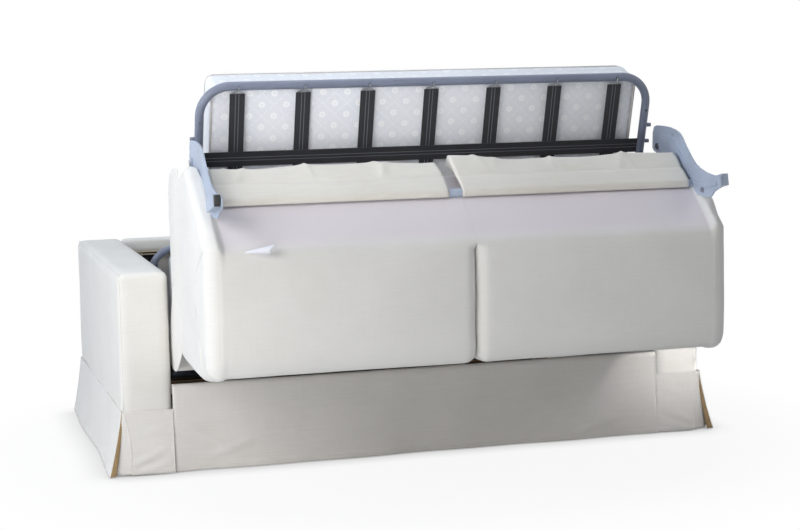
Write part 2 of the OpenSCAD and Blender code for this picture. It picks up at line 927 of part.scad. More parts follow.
// Upper end of the sloping lining, just under the cross tube, and its lower end
slope_a = [cross_y + 9.2, cross_z + 10.6];
slope_b = [383, 223];
slope_n = [slope_b[1] - slope_a[1], slope_a[0] - slope_b[0]] / norm(slope_b - slope_a);
module back_core() {
  color("gainsboro")
    at_back()
      difference() {
        side_plate(-core_w / 2, core_w)
          polygon([[382, 223.6], [97, 223.6], [68, 100], [52, 60], [112, 56], [150, 64],
            [200, 90], [cross_y - 8, cross_z - 2], slope_a, slope_b]);
        bar(-core_w, core_w, tube_d + 1, cross_y, cross_z);
      }
}
module back_lining() {
  color("lightgray")
    at_back()
      side_plate(-core_w / 2, core_w)
        polygon([slope_a + seat_gap * slope_n, slope_b + seat_gap * slope_n,
          slope_b + (seat_gap + cloth_t) * slope_n, slope_a + (seat_gap + cloth_t) * slope_n]);
}
module back_cushion(x0, x1) {
  padded([[387, 262], [390, 330], [391, 400], [390, 470], [387, 520], [383, 545], [372, 563], [343, 573], [303, 574],
    [240, 567], [182, 555], [174, 548], [142, 425], [112, 300], [96, 232], [102, 226],
    [240, 224], [360, 225], [377, 231], [384, 242]],
    x0, x1, 24, 3);
}
module left_back_cushion() {
  color("ivory")
    at_back()
      back_cushion(-cheek_w / 2 + cheek_t + seat_gap, -1);
}
module right_back_cushion() {
  color("ivory")
    at_back()
      back_cushion(1, cheek_w / 2 - cheek_t - seat_gap);
}
// Band of padded cloth over the cross tube, up to a rolled edge and sewn along its middle
module flap(x0, x1) {
  r = tube_r + 0.7;
  function at(d, a) = [cross_y, cross_z] + d * [cos(a), sin(a)];
  outline = concat([for (a = [30 : -28 : -54]) at(r + 4.3, a)],
    [[212, 61], [202, 54], [194.8, 52.3], [186, 43], [165, 26], [150, 15], [134, 11], [120, 16],
    [113, 27], [116, 40], [128, 46], [143, 45], [165, 46], [188, 57], [206, 66]],
    [for (a = [-54 : 14 : 30]) at(r, a)]);
  side_plate(x0, x1 - x0)
    polygon(outline);
}
flap_w = plate_w / 2 - 14;
module left_flap() {
  color("ivory")
    at_back()
      flap(-flap_w, -36);
}
module right_flap() {
  color("ivory")
    at_back()
      flap(4, flap_w);
}
module cheek() {
  x1 = cheek_w / 2;
  padded([[-40, 540], [-41, 290], [-40, 38], [-30, 25], [-4, 22], [20, 14], [93, 2], [104, 4],
    [380, 193], [390, 206], [393, 230], [395, 390], [393, 530], [388, 552], [372, 568],
    [343, 576], [290, 578], [200, 574], [90, 566], [0, 558], [-30, 552]],
    x1 - cheek_t, x1, 10, 0.5);
}
module left_cheek() {
  color("ivory")
    at_back()
      mirror([1, 0, 0])
        cheek();
}
module right_cheek() {
  color("ivory")
    at_back()
      cheek();
}

left_arm();
right_arm();
front_board();
base_rails();
back_rails();
back_webbing();
back_panel();
feet();
front_valance();
left_valance();
right_valance();
back_valance();
corner_pleats();
head_posts();
head_pins();
head_frame();
head_straps();
head_mattress();
knee_bar();
knee_arms();
middle_frame();
middle_straps();
middle_mattress();
fold_bar();
fold_arms();
foot_frame();
foot_straps();
cross_strap();
strap_hooks();
foot_mattress();
seat_board();
hinge_hangers();
left_seat_cushion();
right_seat_cushion();
seat_roll();
left_seat_side();
right_seat_side();
hinge_bolts();
left_plate();
right_plate();
plate_rivets();
cross_tube();
leg_tubes();
leg_caps();
back_core();
back_lining();
left_back_cushion();
right_back_cushion();
left_flap();
right_flap();
left_cheek();
right_cheek();
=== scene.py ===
import bpy
import bmesh
import json
import math
import numpy as np
from mathutils import Matrix, Vector, noise


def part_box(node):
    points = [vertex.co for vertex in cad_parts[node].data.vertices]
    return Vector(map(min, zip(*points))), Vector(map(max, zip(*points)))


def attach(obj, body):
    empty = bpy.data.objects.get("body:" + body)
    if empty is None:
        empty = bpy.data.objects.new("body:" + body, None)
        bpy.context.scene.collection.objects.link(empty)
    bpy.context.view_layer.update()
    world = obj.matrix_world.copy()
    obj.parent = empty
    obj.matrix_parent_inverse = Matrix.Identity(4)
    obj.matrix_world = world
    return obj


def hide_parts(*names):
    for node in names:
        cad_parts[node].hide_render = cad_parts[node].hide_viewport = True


# Sofa bed, half folded. Its covers, valances and mattresses are made here, and fitted over their CAD solids;
# the frames and fittings are the CAD solids themselves.
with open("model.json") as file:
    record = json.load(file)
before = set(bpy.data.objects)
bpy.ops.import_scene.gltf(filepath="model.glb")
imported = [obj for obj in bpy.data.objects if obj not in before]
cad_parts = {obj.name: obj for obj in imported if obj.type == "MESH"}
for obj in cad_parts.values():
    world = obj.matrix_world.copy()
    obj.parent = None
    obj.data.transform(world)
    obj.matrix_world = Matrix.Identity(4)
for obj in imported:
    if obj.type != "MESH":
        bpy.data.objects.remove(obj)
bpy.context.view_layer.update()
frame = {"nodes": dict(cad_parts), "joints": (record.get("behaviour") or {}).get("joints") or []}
nodes = frame["nodes"]
joints = {j["name"]: Vector(j["pos_m"]) for j in frame["joints"]}
FOLD, HINGE, KNEE = joints["foot_fold"], joints["back_fold"], joints["knee_turn"]
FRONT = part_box("front_board")[0].y

# Lengths are in metres, and left is -x, as the camera sees it
SIDES = ((-1, "left"), (1, "right"))
LEAN = math.radians(17.5)  # foot section, forward of upright
TILT = math.radians(21.74)  # middle section, up towards the front
ARM_IN, ARM_OUT = 0.774, 0.922  # sides of the arms, from the middle
ARM_LOW, ARM_TOP = 0.025, 0.600
DEPTH = 1.051  # of the base
SEAM = 0.193  # height of the seam that carries the valances
HEM = 0.0045  # lower edge of the valances
CLOTH = 0.0022  # thickness of the covers' cloth
GAP = 0.0005  # from a cover to the faces of its solid
STITCH, EDGE = 0.0011, 0.0018  # radius of a row of stitches, and of a turned edge
BED_W, STRAPS = 1.375, 7
PITCH = (BED_W - 0.04) / (STRAPS - 0.08)  # of the straps, between the frame's side tubes
CROSS_AT = 0.408 + 0.022  # middle of the cross strap, up the foot section


# Places: each takes points from its body's own frame to the object's

def on_base(p):
    return np.stack([p[:, 0], p[:, 1] + FRONT, p[:, 2]], 1)


def at_foot(p):
    """x, way up the foot section, distance in front of it."""
    x, s, h = p[:, 0], p[:, 1], p[:, 2]
    return np.stack([x, FOLD.y - s * math.sin(LEAN) - h * math.cos(LEAN),
                     FOLD.z + s * math.cos(LEAN) - h * math.sin(LEAN)], 1)


def at_middle(p):
    x, y, z = p[:, 0], p[:, 1], p[:, 2]
    return np.stack([x, KNEE.y + y * math.cos(TILT) + z * math.sin(TILT),
                     KNEE.z - y * math.sin(TILT) + z * math.cos(TILT)], 1)


def at_head(p):
    return np.stack([p[:, 0], p[:, 1] + KNEE.y, p[:, 2]], 1)


def at_back(p):
    """The backrest is turned over: its own y points forwards and its own z down."""
    return np.stack([p[:, 0], HINGE.y - p[:, 1], HINGE.z - p[:, 2]], 1)


def in_place(p):
    return p


# Mesh helpers

def mm(points):
    return np.array(points, float) / 1000


def add(name, data):
    o = bpy.data.objects.new(name, data)
    bpy.context.scene.collection.objects.link(o)
    return o


def make(name, verts, faces, mat, smooth=True, uv=None):
    """Mesh object of one material; uv has a pair for each vertex."""
    me = bpy.data.meshes.new(name)
    me.from_pydata([tuple(map(float, v)) for v in verts], [], [tuple(map(int, f)) for f in faces])
    me.update()
    if smooth:
        me.shade_smooth()
    if uv is not None:
        layer = me.uv_layers.new(name="UVMap")
        corner = np.zeros(len(me.loops), np.int32)
        me.loops.foreach_get("vertex_index", corner)
        layer.data.foreach_set("uv", np.asarray(uv, np.float32)[corner].ravel())
    me.materials.append(mat)
    return add(name, me)


def grid_faces(nu, nv, closed_u=False):
    """Quads between nv rows of nu points."""
    faces = []
    for j in range(nv - 1):
        for i in range(nu if closed_u else nu - 1):
            a = j * nu + i
            b = j * nu + (i + 1) % nu
            faces.append((a, b, b + nu, a + nu))
    return faces


def skin(name, verts, n, mat, uv=None):
    """Closed form over rings of n points each, with its ends filled and its faces turned outwards."""
    rings = len(verts) // n
    faces = grid_faces(n, rings, True)
    faces.append(tuple(range(n))[::-1])
    faces.append(tuple((rings - 1) * n + i for i in range(n)))
    o = make(name, verts, faces, mat, uv=uv)
    bm = bmesh.new()
    bm.from_mesh(o.data)
    bmesh.ops.recalc_face_normals(bm, faces=bm.faces)
    bm.to_mesh(o.data)
    bm.free()
    return o


def resample(p, n, closed=True):
    """n points at even distances along an outline."""
    q = np.vstack([p, p[:1]]) if closed else p
    d = np.r_[0, np.cumsum(np.linalg.norm(np.diff(q, axis=0), axis=1))]
    t = np.linspace(0, d[-1], n, endpoint=not closed)
    return np.stack([np.interp(t, d, q[:, k]) for k in range(q.shape[1])], 1)


def rounded(p, times=2):
    """Closed outline with its corners cut off again and again, until they look round."""
    p = np.asarray(p, float)
    for _ in range(times):
        after = np.roll(p, -1, 0)
        q = np.empty((2 * len(p), 2))
        q[0::2] = 0.75 * p + 0.25 * after
        q[1::2] = 0.25 * p + 0.75 * after
        p = q
    return p


def outline_normals(p):
    t = np.roll(p, -1, 0) - np.roll(p, 1, 0)
    n = np.stack([t[:, 1], -t[:, 0]], 1)
    n /= np.linalg.norm(n, axis=1)[:, None] + 1e-9
    turn = 0.5 * np.sum(p[:, 0] * np.roll(p[:, 1], -1) - np.roll(p[:, 0], -1) * p[:, 1])
    return n if turn > 0 else -n


def wobble(p, scale, seed, size):
    """Points moved a little by noise, so that no padded face is quite even."""
    def one(seed):
        return [noise.noise(Vector((x / scale[0] + seed, y / scale[1] - seed, z / scale[2] + 2 * seed)))
                for x, y, z in p]
    return p + np.stack([one(seed + k) for k in range(3)], 1) * size


def ease(t):
    t = np.clip(t, 0, 1)
    return t * t * (3 - 2 * t)


def round_off(d, r):
    """How far a round edge of radius r lies inside the corner, at distance d from the end."""
    near = np.clip(1 - d / r, 0, 1)
    return r * (1 - np.sqrt(1 - near ** 2))


def creases(p, lines, ax):
    """Soft ridges that lift points along ax. A line is (from, to, width, height), with its ends in the
    other two axes."""
    q = p[:, [k for k in range(3) if k != ax]]
    lift = np.zeros(len(p))
    for a, b, width, height in lines:
        length = math.dist(a, b)
        d = (np.array(b) - a) / length
        t = (q - a) @ d
        s = (q - a) @ np.array([-d[1], d[0]])
        fade = np.clip(np.minimum(t, length - t) / (0.3 * length), 0, 1)
        lift += height * fade * np.exp(-(s / width) ** 2)
    return lift


END_STEPS = np.array([0, 0.03, 0.12, 0.28, 0.5, 0.75, 1.0])
CAP_STEPS, CAP_RISE = (0.75, 0.45, 0.15), 0.004


def loft(name, outline, x0, x1, place, mat, n=112, nx=44, edge=0.018, crown=0.004, bulge=None, rough=0.0015,
         seed=1.0):
    """Padded form along x with its outline in the body's own y-z plane, round ends and a crown."""
    base = resample(rounded(outline), n)
    nor = outline_normals(base)
    w = x1 - x0
    rings = []
    for x in np.r_[END_STEPS[:-1] * edge, np.linspace(edge, w - edge, nx), w - END_STEPS[::-1][1:] * edge]:
        u = 2 * x / w - 1
        grow = crown * (1 - u ** 2) ** 0.6
        r = base + nor * (grow - round_off(min(x, w - x), edge))
        rings.append(np.column_stack([np.full(n, x0 + x), r]))
    caps = {0: [], -1: []}
    for end, out in ((0, -1), (-1, 1)):
        ring = rings[end]
        centre = np.array([ring[0, 0], *base.mean(0)])
        for k in CAP_STEPS:
            q = centre + (ring - centre) * k
            q[:, 0] = ring[0, 0] + out * CAP_RISE * (1 - k ** 2)
            caps[end].append(q)
    rings = caps[0][::-1] + rings + caps[-1]
    p = np.vstack(rings)
    if bulge is not None:
        p = bulge(p)
    if rough:
        p = wobble(p, (0.16, 0.1, 0.1), seed, rough)
    girth = np.r_[0, np.cumsum(np.linalg.norm(np.diff(base, axis=0), axis=1))]
    return skin(name, place(p), n, mat, uv=np.column_stack([p[:, 0], np.tile(girth, len(rings))]))


def soft_box(name, lo, hi, r, place, mat, step=0.016, bulge=None, crown=0.003, rough=0.0012):
    """Upholstered block: an evenly divided box with round edges and slightly crowned faces."""
    lo, hi = np.array(lo, float), np.array(hi, float)
    size = hi - lo
    cnt = np.maximum(4, np.round(size / step).astype(int))
    bm = bmesh.new()
    for ax in range(3):
        a, b = [i for i in range(3) if i != ax]
        for side in (0, 1):
            rows = []
            for i in range(cnt[a] + 1):
                row = []
                for j in range(cnt[b] + 1):
                    p = np.zeros(3)
                    p[ax], p[a], p[b] = side, i / cnt[a], j / cnt[b]
                    row.append(bm.verts.new(lo + p * size))
                rows.append(row)
            for i in range(cnt[a]):
                for j in range(cnt[b]):
                    bm.faces.new((rows[i][j], rows[i + 1][j], rows[i + 1][j + 1], rows[i][j + 1]))
    bmesh.ops.remove_doubles(bm, verts=bm.verts, dist=1e-5)
    bmesh.ops.recalc_face_normals(bm, faces=bm.faces)
    me = bpy.data.meshes.new(name)
    bm.to_mesh(me)
    bm.free()
    p = np.zeros(len(me.vertices) * 3)
    me.vertices.foreach_get("co", p)
    p = p.reshape(-1, 3)
    inner = np.clip(p, lo + r, hi - r)
    out = p - inner
    q = inner + out / (np.linalg.norm(out, axis=1)[:, None] + 1e-12) * r
    u = 2 * (p - lo) / size - 1
    for ax in range(3):
        a, b = [i for i in range(3) if i != ax]
        lift = crown * np.sqrt(np.clip(1 - u[:, a] ** 2, 0, 1) * np.clip(1 - u[:, b] ** 2, 0, 1))
        on_face = np.abs(np.abs(u[:, ax]) - 1) < 1e-6
        q[:, ax] += np.where(on_face, np.sign(u[:, ax]) * lift, 0)
    if bulge is not None:
        q = bulge(q)
    if rough:
        q = wobble(q, (0.2, 0.2, 0.14), 3.0, rough)
    me.vertices.foreach_set("co", place(q).ravel())
    me.update()
    me.shade_smooth()
    me.materials.append(mat)
    return add(name, me)


def cloth(name, fn, nu, nv, thick, place, mat):
    """Sheet of cloth through the points fn(u, v), with u and v from 0 to 1."""
    u, v = np.meshgrid(np.linspace(0, 1, nu), np.linspace(0, 1, nv))
    o = make(name, place(fn(u.ravel(), v.ravel())), grid_faces(nu, nv), mat)
    m = o.modifiers.new("thickness", "SOLIDIFY")
    m.thickness = thick
    m.offset = 0
    return o


def tube_line(name, pts, r, mat, place, sides=8):
    """Thin round welt, wire or row of stitches along points."""
    pts = place(np.asarray(pts, float))
    t = np.gradient(pts, axis=0)
    t /= np.linalg.norm(t, axis=1)[:, None] + 1e-12
    unlike = np.array([0.31, 0.52, 0.79])  # parallel to none of the lines
    a = np.cross(t, unlike)
    a /= np.linalg.norm(a, axis=1)[:, None]
    b = np.cross(t, a)
    ang = np.linspace(0, 2 * math.pi, sides, endpoint=False)
    rings = [pts[i] + r * (np.outer(np.cos(ang), a[i]) + np.outer(np.sin(ang), b[i]))
             for i in range(len(pts))]
    return skin(name, np.vstack(rings), sides, mat)


def ride(o, body, slot, *stands_for):
    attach(o, body)
    if stands_for:
        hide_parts(*stands_for)


# Materials

def srgb(r, g, b):
    def linear(c):
        c /= 255
        return c / 12.92 if c <= 0.04045 else ((c + 0.055) / 1.055) ** 2.4
    return (linear(r), linear(g), linear(b), 1.0)


def scaled(color, k, lift=0.0):
    return tuple(min(1, c * k + lift) for c in color[:3]) + (1.0,)


class Nodes:
    """Short calls for the node tree of a material or the world. Socket names have _ for each space."""

    def __init__(self, owner):
        owner.use_nodes = True
        self.owner = owner
        self.tree = owner.node_tree

    def put(self, x, socket):
        if isinstance(x, bpy.types.NodeSocket):
            self.tree.links.new(x, socket)
        else:
            socket.default_value = x

    def new(self, kind, **inputs):
        n = self.tree.nodes.new(kind)
        for k, x in inputs.items():
            self.put(x, n.inputs[k.replace("_", " ")])
        return n

    def math(self, op, *values):
        n = self.new("ShaderNodeMath")
        n.operation = op
        for i, x in enumerate(values):
            self.put(x, n.inputs[i])
        return n.outputs[0]

    def add(self, a, b):
        return self.math("ADD", a, b)

    def sub(self, a, b):
        return self.math("SUBTRACT", a, b)

    def mul(self, a, b):
        return self.math("MULTIPLY", a, b)

    def between(self, x, lo, hi):
        return self.mul(self.math("GREATER_THAN", x, lo), self.math("LESS_THAN", x, hi))

    def wrapped(self, x):
        """Distance to the nearest whole number."""
        return self.math("ABSOLUTE", self.sub(self.math("FRACT", self.add(x, 0.5)), 0.5))

    def mix(self, fac, a, b):
        n = self.new("ShaderNodeMix")
        n.data_type = "RGBA"
        for i, x in ((0, fac), (6, a), (7, b)):
            self.put(x, n.inputs[i])
        return n.outputs[2]

    def coords(self, scale=(1, 1, 1)):
        c = self.new("ShaderNodeTexCoord")
        return self.new("ShaderNodeMapping", Vector=c.outputs["Object"], Scale=scale).outputs[0]

    def split(self, vec):
        return self.new("ShaderNodeSeparateXYZ", Vector=vec).outputs

    def noise(self, vec, scale, detail=4.0, rough=0.55):
        return self.new("ShaderNodeTexNoise", Vector=vec, Scale=scale, Detail=detail,
                        Roughness=rough).outputs["Fac"]

    def ramp(self, fac, lo, hi):
        return self.new("ShaderNodeMapRange", Value=fac, From_Min=lo, From_Max=hi).outputs[0]

    def bump(self, height, strength, distance, below=None):
        n = self.new("ShaderNodeBump", Height=height, Strength=strength, Distance=distance)
        if below is not None:
            self.put(below, n.inputs["Normal"])
        return n.outputs[0]

    def shade(self, **inputs):
        bsdf = self.tree.nodes["Principled BSDF"]
        for k, x in inputs.items():
            self.put(x, bsdf.inputs[k.replace("_", " ")])
        return self.owner

    def show_camera(self, share, light, white, output):
        """The surface or sky lights the object as light, and shows itself to camera and gloss as white."""
        path = self.new("ShaderNodeLightPath")
        seen = self.math("MAXIMUM", path.outputs["Is Camera Ray"], path.outputs["Is Glossy Ray"])
        mixed = self.new("ShaderNodeMixShader")
        for i, x in enumerate((self.mul(seen, share), light.outputs[0], white.outputs[0])):
            self.put(x, mixed.inputs[i])
        self.put(mixed.outputs[0], self.tree.nodes[output].inputs[0])


def material(name):
    return Nodes(bpy.data.materials.new(name))


def cotton(name, color, dark, weave=0.35, sheen=0.15, fold=0.25, tint=None):
    """Plain woven cotton: fine crossed threads, thicker slubs here and there, soft creases."""
    m = material(name)
    v = m.coords()
    slub_h = m.noise(m.coords((14, 14, 420)), 1.0, 3.0)
    slub_v = m.noise(m.coords((420, 420, 12)), 1.0, 3.0)
    cloud = m.noise(v, 5.0, 3.0)
    tone = m.add(m.add(m.mul(slub_h, 0.34), m.mul(slub_v, 0.22)), m.mul(cloud, 0.44))
    shade = m.mix(m.ramp(tone, 0.36, 0.64), dark, color)
    threads = []
    for direction in "XZ":
        wave = m.new("ShaderNodeTexWave", Vector=v, Scale=130.0, Distortion=1.5)
        wave.bands_direction = direction
        threads.append(wave.outputs["Fac"])
    height = m.add(m.mul(m.math("MAXIMUM", *threads), 0.5), m.mul(tone, 0.9))
    folds = m.noise(m.coords((3.2, 3.2, 5.5)), 1.6, 3.0, 0.5)
    return m.shade(Base_Color=tint(m, shade) if tint else shade, Roughness=0.92, Specular_IOR_Level=0.25,
                   Normal=m.bump(folds, fold, 0.012, m.bump(height, weave, 0.0006)), Sheen_Weight=sheen,
                   Sheen_Roughness=0.5)


def slope_tint(m, cushion):
    """The cushion's cotton turns to a faintly mauve lining on the slope above it."""
    at = m.split(m.coords())
    up = m.ramp(at[2], HINGE.z - 0.228, HINGE.z - 0.190)
    inside = m.ramp(m.math("ABSOLUTE", at[0]), 0.715, 0.700)
    return m.mix(m.mul(up, inside), cushion, srgb(229, 222, 226))


def damask(name):
    """Mattress ticking: a dotted lattice with a small diamond in a ring in each of its cells."""
    m = material(name)
    cell_w, cell_h = 0.072, 0.068
    uv = m.split(m.new("ShaderNodeUVMap").outputs[0])
    x, y = m.math("DIVIDE", uv[0], cell_w), m.math("DIVIDE", uv[1], cell_h)
    a, b = m.add(x, y), m.sub(x, y)
    ra, rb = m.wrapped(a), m.wrapped(b)
    off = m.math("MAXIMUM", ra, rb)
    ring = m.between(off, 0.085, 0.15)
    dot = m.math("LESS_THAN", off, 0.04)
    leaf = m.mul(m.between(off, 0.15, 0.2), m.math("LESS_THAN", m.math("MINIMUM", ra, rb), 0.03))
    motif = m.math("MAXIMUM", m.math("MAXIMUM", ring, dot), leaf)
    line = m.math("MINIMUM", m.wrapped(m.add(a, 0.5)), m.wrapped(m.add(b, 0.5)))
    along = m.math("FRACT", m.mul(m.add(a, m.mul(b, 0.37)), 7.0))
    lattice = m.mul(m.math("LESS_THAN", line, 0.022), m.math("LESS_THAN", along, 0.6))
    pattern = m.math("MAXIMUM", motif, m.mul(lattice, 0.7))
    v = m.coords()
    ground = m.mix(m.ramp(m.noise(v, 4.0, 3.0), 0.3, 0.7), srgb(232, 235, 240), srgb(238, 240, 244))
    quilt = m.noise(m.coords((2.0, 2.0, 3.0)), 2.2, 3.0)
    fine = m.bump(m.add(pattern, m.noise(v, 600.0, 2.0)), 0.3, 0.0008)
    return m.shade(Base_Color=m.mix(pattern, ground, srgb(253, 254, 255)),
                   Normal=m.bump(quilt, 0.5, 0.02, fine), Roughness=0.8, Sheen_Weight=0.15)


def coated_steel(name, color, rough):
    """Powder-coated steel with a faint orange peel, handling marks and duller patches."""
    m = material(name)
    v = m.coords()
    cloud = m.noise(v, 9.0, 4.0)
    scuff = m.ramp(m.noise(m.coords((8, 60, 60)), 1.0, 5.0, 0.7), 0.62, 0.75)
    patches = m.mix(m.ramp(cloud, 0.35, 0.65), scaled(color, 0.86), color)
    return m.shade(Base_Color=m.mix(m.mul(scuff, 0.25), patches, scaled(color, 1.12)),
                   Roughness=m.add(m.mul(cloud, 0.2), rough - 0.1),
                   Normal=m.bump(m.noise(v, 900.0, 2.0), 0.12, 0.0003),
                   Coat_Weight=0.12, Coat_Roughness=0.3)


def zinc(name):
    """Zinc plate, brushed along x."""
    m = material(name)
    brushed = m.noise(m.coords((40, 900, 900)), 1.0, 4.0)
    return m.shade(Base_Color=m.mix(brushed, srgb(150, 152, 158), srgb(205, 207, 210)),
                   Roughness=m.add(m.mul(m.noise(m.coords(), 60.0), 0.25), 0.2),
                   Normal=m.bump(brushed, 0.15, 0.0003), Metallic=1.0)


def webbing(name, up_foot=False, pitch=None, middle=None):
    """Ribbed elastic, with two pale threads near its middle where a pitch or a middle is given."""
    m = material(name)
    at = m.split(m.coords())
    t = at[0]
    if up_foot:
        t = m.add(m.mul(m.sub(at[1], FOLD.y), -math.sin(LEAN)), m.mul(m.sub(at[2], FOLD.z), math.cos(LEAN)))
    rib_pitch = 0.0035
    rib = m.math("ABSOLUTE", m.sub(m.math("FRACT", m.mul(t, 1 / rib_pitch)), 0.5))
    color = m.mix(m.noise(m.coords(), 40.0), srgb(19, 20, 24), srgb(33, 34, 40))
    if pitch or middle:
        if pitch:
            off = m.mul(m.wrapped(m.math("DIVIDE", t, pitch)), pitch)
        else:
            off = m.math("ABSOLUTE", m.sub(t, middle))
        color = m.mix(m.mul(m.between(off, 0.0035, 0.0058), 0.55), color, srgb(120, 122, 130))
    return m.shade(Base_Color=color, Normal=m.bump(rib, 0.5, 0.0008), Roughness=0.75, Sheen_Weight=0.2)


def timber(name, dark, light):
    m = material(name)
    grain = m.noise(m.coords((2, 40, 40)), 2.0, 5.0)
    return m.shade(Base_Color=m.mix(m.ramp(grain, 0.3, 0.7), dark, light), Normal=m.bump(grain, 0.25, 0.001),
                   Roughness=0.7)


def plastic(name, color):
    m = material(name)
    v = m.coords()
    return m.shade(Base_Color=m.mix(m.noise(v, 20.0), color, scaled(color, 1.35, 0.004)),
                   Normal=m.bump(m.noise(v, 300.0, 2.0), 0.15, 0.0003), Roughness=0.45)


COVER = cotton("cover_cotton", srgb(237, 235, 230), srgb(229, 227, 221))
SKIRT = cotton("valance_cotton", srgb(235, 232, 228), srgb(225, 222, 217), fold=0.45)
PADDED = cotton("cushion_cotton", srgb(236, 234, 230), srgb(227, 225, 220), fold=0.2)
FLAP = cotton("flap_cotton", srgb(236, 233, 225), srgb(226, 222, 213), fold=0.5)
INSIDE = cotton("pleat_inside", srgb(205, 192, 170), srgb(188, 172, 150))
TURNED = cotton("turned_hem", srgb(176, 150, 112), srgb(150, 124, 88), weave=0.2, sheen=0.05)
BACKREST = cotton("backrest_cotton", srgb(236, 235, 232), srgb(228, 227, 223), fold=0.2, tint=slope_tint)
LINING = cotton("lining_cloth", srgb(222, 215, 219), srgb(212, 205, 209), weave=0.15, fold=0.15)
THREAD = cotton("seam_thread", srgb(241, 239, 234), srgb(230, 228, 222), weave=0.1, fold=0.0)
TICKING = damask("mattress_ticking")
PIPING = cotton("mattress_piping", srgb(214, 211, 208), srgb(196, 193, 190), weave=0.2, fold=0.0)
# The tubes wear a darker paint than the plates: painted shade, for the darker front of the top tube
TUBE_STEEL_PAINTED_SHADE = coated_steel("tube_steel", srgb(120, 128, 148), 0.4)
PLATE = coated_steel("plate_steel", srgb(174, 186, 206), 0.5)
ZINC = zinc("zinc_plate")
STRAP = webbing("elastic_strap", pitch=PITCH)
CROSS = webbing("elastic_cross", up_foot=True, middle=CROSS_AT)
DARK_WEB = webbing("back_webbing")
WOOD = timber("raw_timber", srgb(176, 138, 92), srgb(206, 172, 126))
# The base's rails wear a darker copy of the timber: painted shade, for the dark gap where they show between
# an arm and the cushions
RAIL_WOOD_PAINTED_SHADE = timber("rail_timber_painted_shade", srgb(96, 72, 48), srgb(122, 96, 66))
# Black plastic of the feet; on the left leg tube's mouth the same black is painted shade
BLACK_PLASTIC_AND_PAINTED_SHADE = plastic("black_plastic", srgb(24, 24, 26))
TAG = cotton("tag_cloth", srgb(238, 239, 246), srgb(230, 231, 240), weave=0.1, fold=0.1)

# Pieces that come from the CAD model as they are
for mat, names in (
        (TUBE_STEEL_PAINTED_SHADE, ("head_posts", "head_frame", "middle_frame", "foot_frame")),
        (PLATE, ("hinge_hangers", "left_plate", "right_plate", "cross_tube", "leg_tubes", "leg_caps")),
        (ZINC, ("head_pins", "knee_bar", "knee_arms", "fold_bar", "fold_arms", "strap_hooks", "hinge_bolts",
                "plate_rivets")),
        (STRAP, ("foot_straps", "head_straps", "middle_straps")),
        (CROSS, ("cross_strap",)),
        (DARK_WEB, ("back_webbing",)),
        (WOOD, ("seat_board",)),
        (RAIL_WOOD_PAINTED_SHADE, ("base_rails",)),
        (BLACK_PLASTIC_AND_PAINTED_SHADE, ("feet",))):
    for name in names:
        nodes[name].data.materials.clear()
        nodes[name].data.materials.append(mat)


# Base: arms, front cover, valances, back

# Creases: from, to, width, height. The ends are (y, z) on an arm and (x, z) in front.
ARM_CREASES = (
    ((0.08, 0.52), (0.30, 0.20), 0.012, 0.0022),
    ((0.14, 0.40), (0.42, 0.10), 0.014, -0.002),
    ((0.05, 0.36), (0.16, 0.06), 0.010, 0.002),
    ((0.5, 0.5), (0.8, 0.15), 0.016, 0.0018))
FRONT_CREASES = (
    ((-0.70, 0.03), (-0.50, 0.10), 0.012, 0.004),
    ((0.45, 0.02), (0.74, 0.09), 0.014, 0.006),
    ((0.52, 0.05), (0.70, 0.17), 0.016, -0.004),
    ((-0.76, 0.16), (-0.55, 0.02), 0.013, 0.003),
    ((-0.2, 0.02), (0.15, 0.05), 0.016, 0.004))
VALANCE_CREASES = (  # right-hand valance; the left one mirrors it
    ((0.905, 0.030), (0.785, 0.082), 0.008, 0.0045),
    ((0.895, 0.020), (0.790, 0.055), 0.006, -0.004),
    ((0.880, 0.012), (0.778, 0.036), 0.006, 0.004),
    ((0.870, 0.120), (0.780, 0.150), 0.010, 0.002))


def arm_folds(side):
    """Slight waves low on the arm's outer face, and its creases."""
    def f(q):
        q = q.copy()
        u = (q[:, 2] - ARM_LOW) / (ARM_TOP - ARM_LOW)
        face = np.exp(-((np.abs(q[:, 0]) - ARM_OUT) / 0.03) ** 2)
        wave = 0.0016 * np.sin(q[:, 1] * 17 + 5 * u) * (1 - u) * face
        q[:, 0] += np.sign(q[:, 0]) * wave
        q[:, 0] += side * face * creases(q, ARM_CREASES, 0)
        return q
    return f


def arm_welt(side):
    """Up the arm's front corner, round its top and back along the upper edge."""
    x = side * (ARM_OUT - 0.006)
    bend = 0.583
    line = [(x, 0.006, z) for z in np.linspace(0.2, bend, 24)]
    line += [(x, 0.006 + 0.007 * math.sin(t), bend + 0.009 * (1 - math.cos(t)) + 0.004 * math.sin(t))
             for t in np.linspace(0.2, 1.5, 6)]
    return line + [(x, y, ARM_TOP - 0.0045) for y in np.linspace(0.03, DEPTH - 0.02, 40)]


for side, nm in SIDES:
    x0, x1 = sorted((side * (ARM_IN + GAP), side * (ARM_OUT - GAP)))
    o = soft_box(nm + "_arm_cover", (x0, GAP, ARM_LOW), (x1, DEPTH - GAP, ARM_TOP - 0.0008), 0.017, on_base,
                 COVER, crown=0.0025, bulge=arm_folds(side))
    ride(o, "base", "cover", nm + "_arm")
    o = tube_line(nm + "_arm_welt", arm_welt(side), 0.0022, COVER, on_base)
    ride(o, "base", "cover")


def flare(v, by):
    """How far a valance stands out at the share v of its drop."""
    return by * v * (0.7 + 0.3 * v)


def drop(v):
    return SEAM - v * (SEAM - HEM)


FRONT_CUT = 0.30  # length of the front cover as cut
BEHIND, OVER = 0.018, 0.035  # its lengths behind the front board and over the top


